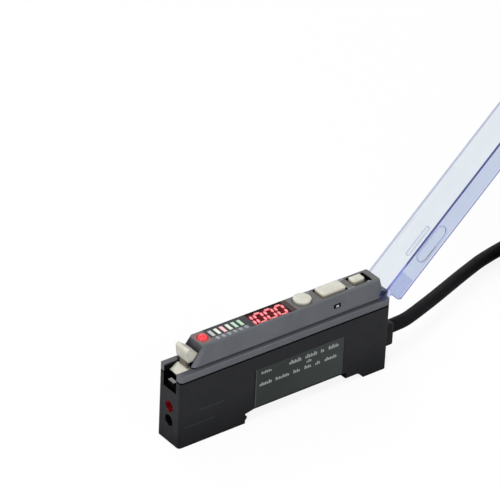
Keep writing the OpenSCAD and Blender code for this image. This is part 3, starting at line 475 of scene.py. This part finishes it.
def display_body():
    """Matte plastic: dark red and aglow under the digits, pale brown behind them."""
    made = Paint("display_body")
    made.set(Specular_IOR_Level=0.4, Emission_Color=paint(190, 12, 30))
    behind = made.rise("X", 38.5, 38.8)
    made.feed("Base Color", made.blend(behind, made.drift(3, 4, (44, 12, 15), (56, 16, 20)), (196, 172, 164)))
    made.rough(made.noise(2, 5), 0.4, 0.6)
    made.bump(made.noise(0.16, 2), 0.012)
    made.feed("Emission Strength", made.span(behind, 0, 1, 0.7, 0))
    return made


def lit_segments():
    """Lit segments: red along their edges, nearly white in their middle."""
    made = lit_plastic("display_red", (244, 110, 122), (254, 160, 168), (255, 150, 160), 3.6)
    upward = made.add("ShaderNodeSeparateXYZ")
    made.link(made.rounded(0.22, 8), upward.inputs["Vector"])
    core = made.span(upward.outputs["Z"], 0.86, 0.99, 0, 1)
    made.feed("Emission Color", made.blend(core, (240, 70, 86), (255, 190, 196)))
    return made


def label_film():
    """Satin film: dark green-grey, paler towards the rear with a painted sheen, and paler along its front
    border.
    """
    made = moulded(
        "label_film", (36, 43, 42), (43, 50, 48), (0.3, 0.42), grain_mm=0.5, depth_mm=0.003, cloud_mm=9,
    )
    # Painted sheen: paler towards the rear
    tone = made.blend(made.rise("X", 34, 54), made.tone, (52, 60, 58))
    border = made.fall("X", LABEL_X + 0.25, LABEL_X + 0.5, 0.6)
    made.feed("Base Color", made.blend(border, tone, (84, 89, 89)))
    return made


def sheath(name, dark, light, rough=(0.45, 0.6), specular=0.35):
    """Soft plastic or rubber with a fine grain."""
    return moulded(name, dark, light, rough, specular, grain_mm=0.3, depth_mm=0.01, cloud_mm=3)


def metal(name, dark, light):
    """Bare metal with fine marks drawn along it."""
    made = Paint(name)
    made.set(Metallic=1)
    made.feed("Base Color", made.drift(1.2, 4, dark, light))
    made.rough(made.noise(0.5, 4), 0.22, 0.36)
    made.bump(made.noise(0.12, 2, (1, 0.1, 1)), 0.004)
    return made


def circuit_board():
    """Green solder mask with paler tracks under it."""
    made = Paint("board_green")
    made.set(Specular_IOR_Level=0.5)
    cells = made.add("ShaderNodeTexVoronoi")
    cells.feature = "DISTANCE_TO_EDGE"
    cells.inputs["Scale"].default_value = 1 / (2.2 * MM)
    made.link(made.place, cells.inputs["Vector"])
    tracks = cells.outputs["Distance"]
    made.feed("Base Color", made.ramp(tracks, 0.03, 0.09, (44, 118, 78), (22, 84, 54)))
    made.rough(made.noise(1, 3), 0.3, 0.42)
    made.bump(tracks, 0.02, 0.4)
    return made


FINISHES = {
    "lower_case": charcoal_case(),
    "upper_case": grey_case(),
    "rating_label": label_film(),
    "dust_cover": clear_cover(),
    "lever_pin": metal("pin_steel", (168, 170, 174), (196, 198, 202)),
    "fibre_clamp": clamp_grey(),
    "optic_holder": moulded("black_plastic", (22, 22, 24), (30, 30, 32)),
    "receiver_diode": moulded("receiver_dark", (34, 28, 44), (44, 38, 56), (0.08, 0.16), 0.5),
    "main_chips": moulded("chip_black", (22, 22, 24), (30, 30, 33), (0.5, 0.7)),
    "board_header": metal("pin_brass", (176, 146, 76), (206, 178, 104)),
    "digit_display": display_body(),
    "digit_segments": lit_segments(),
    "display_window": smoked_window(),
    "lock_lever": ivory("ivory_lock_lever", 23.3, 24.9, 0.85, (84, 76, 58), 1.1),
    "cable_gland": sheath("black_rubber", (24, 24, 26), (30, 30, 33), (0.5, 0.65), 0.15),
    "inner_leads": sheath("core_sleeves", (84, 70, 70), (100, 84, 84)),
    "coil_ties": sheath("tie_black", (24, 24, 26), (32, 32, 34), (0.3, 0.45)),
    "lead_tips": metal("tinned_copper", (186, 184, 180), (212, 210, 206)),
}
# Lit pieces: name, dark and light tone, colour of the glow and its strength
LIT = {
    "emitter_led": ("emitter_red", (200, 40, 36), (220, 60, 50), (255, 30, 30), 3),
    "indicator_chips": ("chip_cream", (226, 222, 180), (236, 232, 196), (255, 250, 220), 0.3),
    "light_pipe_grey": ("pipe_grey", (170, 175, 178), (186, 191, 194), (200, 204, 208), 0.12),
    "light_pipe_cream": ("pipe_cream", (212, 220, 202), (228, 234, 218), (224, 236, 214), 0.12),
    "light_pipe_red": ("pipe_red", (236, 164, 170), (246, 188, 193), (255, 180, 186), 0.3),
    "light_pipe_green": ("pipe_green", (164, 200, 172), (188, 216, 194), (170, 220, 184), 0.12),
    "output_led": ("lamp_red", (222, 36, 46), (236, 52, 60), (255, 40, 52), 0.35, (0.1, 0.2)),
}
for node, values in LIT.items():
    FINISHES[node] = lit_plastic(*values)
for node in ("main_board", "display_board"):
    FINISHES[node] = circuit_board()
for node in ("set_switch", "rocker_switches", "mode_switch"):
    FINISHES[node] = moulded("switch_" + node, (40, 40, 43), (54, 54, 58))
for node in ("set_button", "adjust_rocker", "mode_knob"):
    FINISHES[node] = ivory("ivory_" + node, 29, 29.9, 0.6, (112, 100, 78), 0.6)

for node, made in FINISHES.items():
    nodes[node].data.materials.clear()
    nodes[node].data.materials.append(made.material)
# Clear plastic lets the light through to what is under it
nodes["dust_cover"].visible_shadow = False


# Cable: its route from the case, the hank of its length, and the tail that ends in bare leads
CABLE_D = 4
ROUTE = [
    (69.4, 0, 9.7), (75, 0, 9.7), (78, 0, 9.7), (82, 0.4, 9.6), (86, 1.5, 9.5), (90, 3, 9.2),
    (96, 5.5, 8.5), (102, 8.2, 7.7), (108, 11, 6.8), (114, 13.8, 5.9), (120, 16.6, 4.9),
    (126, 19.2, 4), (132, 21.3, 3.2), (138, 22.9, 2.7), (143, 23.7, 2.5), (148, 24, 2.5),
]
ROUTE_STEPS = 4
HANK_X0 = 148
HANK_Y = 8
RUN_L = 44
FOLD_R = 14
HANK_FOOT = 0.5
HANK_ROWS = 6
TURN_STEPS = 44
# The turns after the first: column, from outside 1 to inside -1, and row
HANK_TURNS = [
    (-1, 0), (-1, 1), (1, 1), (1, 2), (-1, 2), (-1, 3), (1, 3), (1, 4), (-1, 4), (-1, 5), (1, 5), (0, 5.875),
]
SHIFT_FIRST = 0.7
SHIFT_LAST = 10.8
SHIFT_PITCH = (SHIFT_LAST - SHIFT_FIRST) / (len(HANK_TURNS) - 1)
SHIFT_L = 0.2
TAIL_END_L = 4
LEAD_L = 40
LEAD_R = 0.6
LEAD_GAP = 0.05
LEAD_PITCH = 1.25
LEAD_SPREAD = 0.9
LEAD_STEPS = 16
LEAD_Z = HANK_FOOT + HANK_ROWS * CABLE_D + LEAD_R + LEAD_GAP


def ease(share):
    """From 0 to 1 with a soft start and a soft end."""
    return (1 - math.cos(math.pi * min(1, max(0, share)))) / 2


def smooth_line(points, steps):
    """A smooth line through the points, with a few steps between each two."""
    line = []
    for i in range(len(points) - 1):
        a, b, c, d = [Vector(points[min(max(k, 0), len(points) - 1)]) for k in (i - 1, i, i + 1, i + 2)]
        for k in range(steps):
            t = k / steps
            bend = (2 * a - 5 * b + 4 * c - d) * t ** 2 + (3 * b - a - 3 * c + d) * t ** 3
            line.append(0.5 * (2 * b + (c - a) * t + bend))
    line.append(Vector(points[-1]))
    return line


def on_hank(turns, out, z):
    """A place on the hank: the far run, then the rear fold, the near run and the front fold."""
    fold_l = math.pi * FOLD_R
    past = (turns % 1) * 2 * (RUN_L + fold_l)
    if past < RUN_L:
        return Vector((HANK_X0 + past, HANK_Y + FOLD_R + out, z))
    past -= RUN_L
    if past < fold_l:
        centre_x = HANK_X0 + RUN_L
        angle = math.pi / 2 - past / FOLD_R
    else:
        past -= fold_l
        if past < RUN_L:
            return Vector((HANK_X0 + RUN_L - past, HANK_Y - FOLD_R - out, z))
        centre_x = HANK_X0
        angle = -math.pi / 2 - (past - RUN_L) / FOLD_R
    radius = FOLD_R + out
    return Vector((centre_x + radius * math.cos(angle), HANK_Y + radius * math.sin(angle), z))


def hank_line():
    """Two turns side by side, in rows on top of each other, ending in the groove on top."""
    line = []
    last_turn = SHIFT_LAST + SHIFT_L
    steps = round(last_turn * TURN_STEPS)
    for i in range(1, steps + 1):
        turns = last_turn * i / steps
        column = 1
        level = 0
        for k, (next_column, next_level) in enumerate(HANK_TURNS):
            share = ease((turns - SHIFT_FIRST - SHIFT_PITCH * k) / SHIFT_L)
            column += (next_column - column) * share
            level += (next_level - level) * share
        line.append(on_hank(turns, column * CABLE_D / 2, HANK_FOOT + CABLE_D * (level + 0.5)))
    line.append(Vector((HANK_X0 + TAIL_END_L, HANK_Y + FOLD_R, line[-1].z)))
    return line


def cord_curve(name, line, diameter, made):
    """A round cord along a line on the case, in millimetres."""
    data = bpy.data.curves.new(name, "CURVE")
    data.dimensions = "3D"
    data.bevel_depth = diameter / 2 * MM
    data.bevel_resolution = 5
    data.use_fill_caps = True
    spline = data.splines.new("POLY")
    spline.points.add(len(line) - 1)
    for point, place in zip(spline.points, line):
        point.co = (*row(*place), 1)
    spline.use_smooth = True
    obj = bpy.data.objects.new(name, data)
    bpy.context.scene.collection.objects.link(obj)
    data.materials.append(made.material)
    return obj


cable_line = smooth_line(ROUTE, ROUTE_STEPS) + hank_line()
cable_finish = sheath("cable_sheath", (18, 18, 20), (24, 24, 26), (0.5, 0.65), 0.06)
cable = cord_curve("cable_cord", cable_line, CABLE_D, cable_finish)
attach(cable, "case")
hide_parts("cable", "cable_coil", "cable_tail")

# Leads: node, side of the tail, dark and light tone
LEADS = [
    ("lead_brown", -1, (92, 54, 34), (112, 68, 44)),
    ("lead_blue", 0, (32, 66, 150), (44, 84, 172)),
    ("lead_black", 1, (24, 24, 26), (34, 34, 36)),
]
tail_end = cable_line[-1]
for node, side, dark, light in LEADS:
    line = []
    for i in range(LEAD_STEPS + 1):
        share = i / LEAD_STEPS
        x = tail_end.x + LEAD_L * share + LEAD_GAP
        y = tail_end.y + side * (LEAD_PITCH + LEAD_SPREAD * share ** 2)
        z = LEAD_Z + (tail_end.z - LEAD_Z) * (1 - share) ** 3
        line.append(Vector((x, y, z)))
    sleeve = node.replace("lead_", "") + "_sleeve"
    lead = cord_curve(node + "_cord", line, 2 * LEAD_R, sheath(sleeve, dark, light))
    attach(lead, "case")
    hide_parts(node)


# Print: small raised plates of ink on the top face and on the label
INK_T = 0.015
CORNER_CUT = 0.3


def ink_plates(name, plates, made, point):
    """Thin plates with cut corners, each from its low and high ends along the case and across it."""
    mesh = bpy.data.meshes.new(name)
    shape = bmesh.new()
    for u0, u1, v0, v1 in plates:
        cut = CORNER_CUT * min(u1 - u0, v1 - v0)
        outline = [
            (u0 + cut, v0), (u1 - cut, v0), (u1, v0 + cut), (u1, v1 - cut),
            (u1 - cut, v1), (u0 + cut, v1), (u0, v1 - cut), (u0, v0 + cut),
        ]
        base = [shape.verts.new(point(u, v, 0)) for u, v in outline]
        face = [shape.verts.new(point(u, v, INK_T)) for u, v in outline]
        shape.faces.new(base)
        shape.faces.new(list(reversed(face)))
        for k in range(len(outline)):
            n = (k + 1) % len(outline)
            shape.faces.new((base[k], face[k], face[n], base[n]))
    bmesh.ops.recalc_face_normals(shape, faces=shape.faces)
    shape.to_mesh(mesh)
    shape.free()
    obj = bpy.data.objects.new(name, mesh)
    bpy.context.scene.collection.objects.link(obj)
    mesh.materials.append(made.material)
    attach(obj, "case")


def on_top(x, y, out):
    """A point on the top face, or out from it."""
    return row(x, y, TOP_Z + out)


def on_label(x, z, out):
    """A point on the label, or out from it."""
    return row(x, LABEL_Y - out, z)


# Ticks beside the bars
BAR_COUNT = 6
FIRST_BAR_X = 13.6
BAR_PITCH = 1.93
TICK_BEFORE = 0.2
TICK_AFTER = 0.7
TICK_NEAR_Y = -2.95
TICK_FAR_Y = -1.5
# Strokes by the controls, in place of print
TOP_STROKES = [
    (58.4, 59.3, -2.6, -2.2), (59.6, 60.6, -2.6, -2.2), (65, 65.9, -2.55, -2.1),
    (58.6, 60.2, 2.1, 2.5), (47.4, 48.4, 2.2, 2.5),
]
top_plates = []
for i in range(BAR_COUNT):
    bar_x = FIRST_BAR_X + BAR_PITCH * i
    top_plates.append((bar_x - TICK_BEFORE, bar_x + TICK_AFTER, TICK_NEAR_Y, TICK_FAR_Y))
pale_ink = moulded("pale_ink", (136, 146, 158), (154, 163, 175))
ink_plates("top_print", top_plates + TOP_STROKES, pale_ink, on_top)

# Rows of short strokes in place of print: height on the case, stroke height, and the ends of each group
LABEL_ROWS = [
    (13.8, 1.35, [(37, 41.4), (42.5, 46.9), (47.9, 49.5), (50.6, 54.6)]),
    (12.3, 0.95, [(43, 44.9)]),
    (10.4, 1.15, [(27, 31.3), (32.4, 37.4), (38.5, 41.2), (42.4, 45), (46.1, 48.5), (49.4, 53.8)]),
    (14.2, 0.95, [(27.4, 31)]),
]
STROKE_SHARES = [1, 0.7, 0.85, 0.6, 1, 0.75, 0.9, 0.65]
STROKE_W = 0.42
STROKE_PITCH = 0.6
label_plates = []
for low_z, high, groups in LABEL_ROWS:
    for x0, x1 in groups:
        count = int((x1 - x0) / STROKE_PITCH)
        for k in range(count):
            left = x0 + k * STROKE_PITCH
            tall = high * STROKE_SHARES[(k + count) % len(STROKE_SHARES)]
            label_plates.append((left, left + STROKE_W, low_z, low_z + tall))
label_ink = moulded("label_ink", (158, 164, 160), (182, 187, 183))
ink_plates("label_print", label_plates, label_ink, on_label)


# Floor, background and light
def white_where_seen(tree, rays, share_seen):
    """How far a surface shows as plain white, to the camera and to the rays named."""
    path = tree.nodes.new("ShaderNodeLightPath")
    seen = path.outputs["Is Camera Ray"]
    for name in rays:
        either = tree.nodes.new("ShaderNodeMath")
        either.operation = "MAXIMUM"
        tree.links.new(seen, either.inputs[0])
        tree.links.new(path.outputs[name], either.inputs[1])
        seen = either.outputs["Value"]
    share = tree.nodes.new("ShaderNodeMath")
    share.operation = "MULTIPLY"
    share.inputs[1].default_value = share_seen
    tree.links.new(seen, share.inputs[0])
    return share.outputs["Value"]


FLOOR_HALF = 6
FLOOR_GAP = 0.02
FLOOR_GLOW = 1.13
FLOOR_WHITE_SHARE = 0.78
ROOM_LIGHT = 0.42
ROOM_WHITE = 1

floor_paint = Paint("floor_white")
floor_paint.feed("Base Color", floor_paint.drift(400, 2, (196, 196, 196), (200, 200, 200)))
floor_paint.set(Roughness=0.9, Specular_IOR_Level=0)
floor_glow = floor_paint.add("ShaderNodeEmission")
floor_glow.inputs["Strength"].default_value = FLOOR_GLOW
floor_mix = floor_paint.add("ShaderNodeMixShader")
floor_seen = white_where_seen(floor_paint.tree, ["Is Transmission Ray"], FLOOR_WHITE_SHARE)
floor_paint.link(floor_seen, floor_mix.inputs["Fac"])
floor_paint.link(floor_paint.shader.outputs["BSDF"], floor_mix.inputs[1])
floor_paint.link(floor_glow.outputs["Emission"], floor_mix.inputs[2])
floor_paint.link(floor_mix.outputs["Shader"], floor_paint.output.inputs["Surface"])

floor_mesh = bpy.data.meshes.new("floor")
floor_z = at("Z", -FLOOR_GAP)
floor_corners = [(u * FLOOR_HALF, v * FLOOR_HALF, floor_z) for u, v in ((-1, -1), (1, -1), (1, 1), (-1, 1))]
floor_mesh.from_pydata(floor_corners, [], [(0, 1, 2, 3)])
floor = bpy.data.objects.new("floor", floor_mesh)
bpy.context.scene.collection.objects.link(floor)
floor_mesh.materials.append(floor_paint.material)


def room(tree, strength):
    """A plain white surrounding of one strength."""
    node = tree.nodes.new("ShaderNodeBackground")
    node.inputs["Color"].default_value = (1, 1, 1, 1)
    node.inputs["Strength"].default_value = strength
    return node.outputs["Background"]


world = bpy.data.worlds.new("studio")
bpy.context.scene.world = world
world.use_nodes = True
world_tree = world.node_tree
world_tree.nodes.clear()
world_out = world_tree.nodes.new("ShaderNodeOutputWorld")
world_mix = world_tree.nodes.new("ShaderNodeMixShader")
world_seen = white_where_seen(world_tree, ["Is Glossy Ray", "Is Transmission Ray"], 1)
world_tree.links.new(world_seen, world_mix.inputs["Fac"])
world_tree.links.new(room(world_tree, ROOM_LIGHT), world_mix.inputs[1])
world_tree.links.new(room(world_tree, ROOM_WHITE), world_mix.inputs[2])
world_tree.links.new(world_mix.outputs["Shader"], world_out.inputs["Surface"])

LIGHT_AIM = Vector((0, 0, 0.01))
# Soft round lamps: name, place and size in metres, power in watts
LIGHTS = [
    ("key_light", (-0.5, -0.2, 0.95), 0.6, 5),
    ("fill_light", (0.2, -1, 0.55), 0.7, 2.2),
    ("rear_light", (0.2, 0.8, 0.7), 0.6, 2),
    ("front_light", (-1, -0.15, 0.4), 0.6, 2.2),
]
for name, place, size, power in LIGHTS:
    light_data = bpy.data.lights.new(name, "AREA")
    light_data.shape = "DISK"
    light_data.size = size
    light_data.energy = power
    lamp = bpy.data.objects.new(name, light_data)
    bpy.context.scene.collection.objects.link(lamp)
    lamp.location = place
    lamp.rotation_mode = "QUATERNION"
    lamp.rotation_quaternion = (LIGHT_AIM - Vector(place)).to_track_quat("-Z", "Y")

bpy.context.scene.view_settings.view_transform = "Standard"
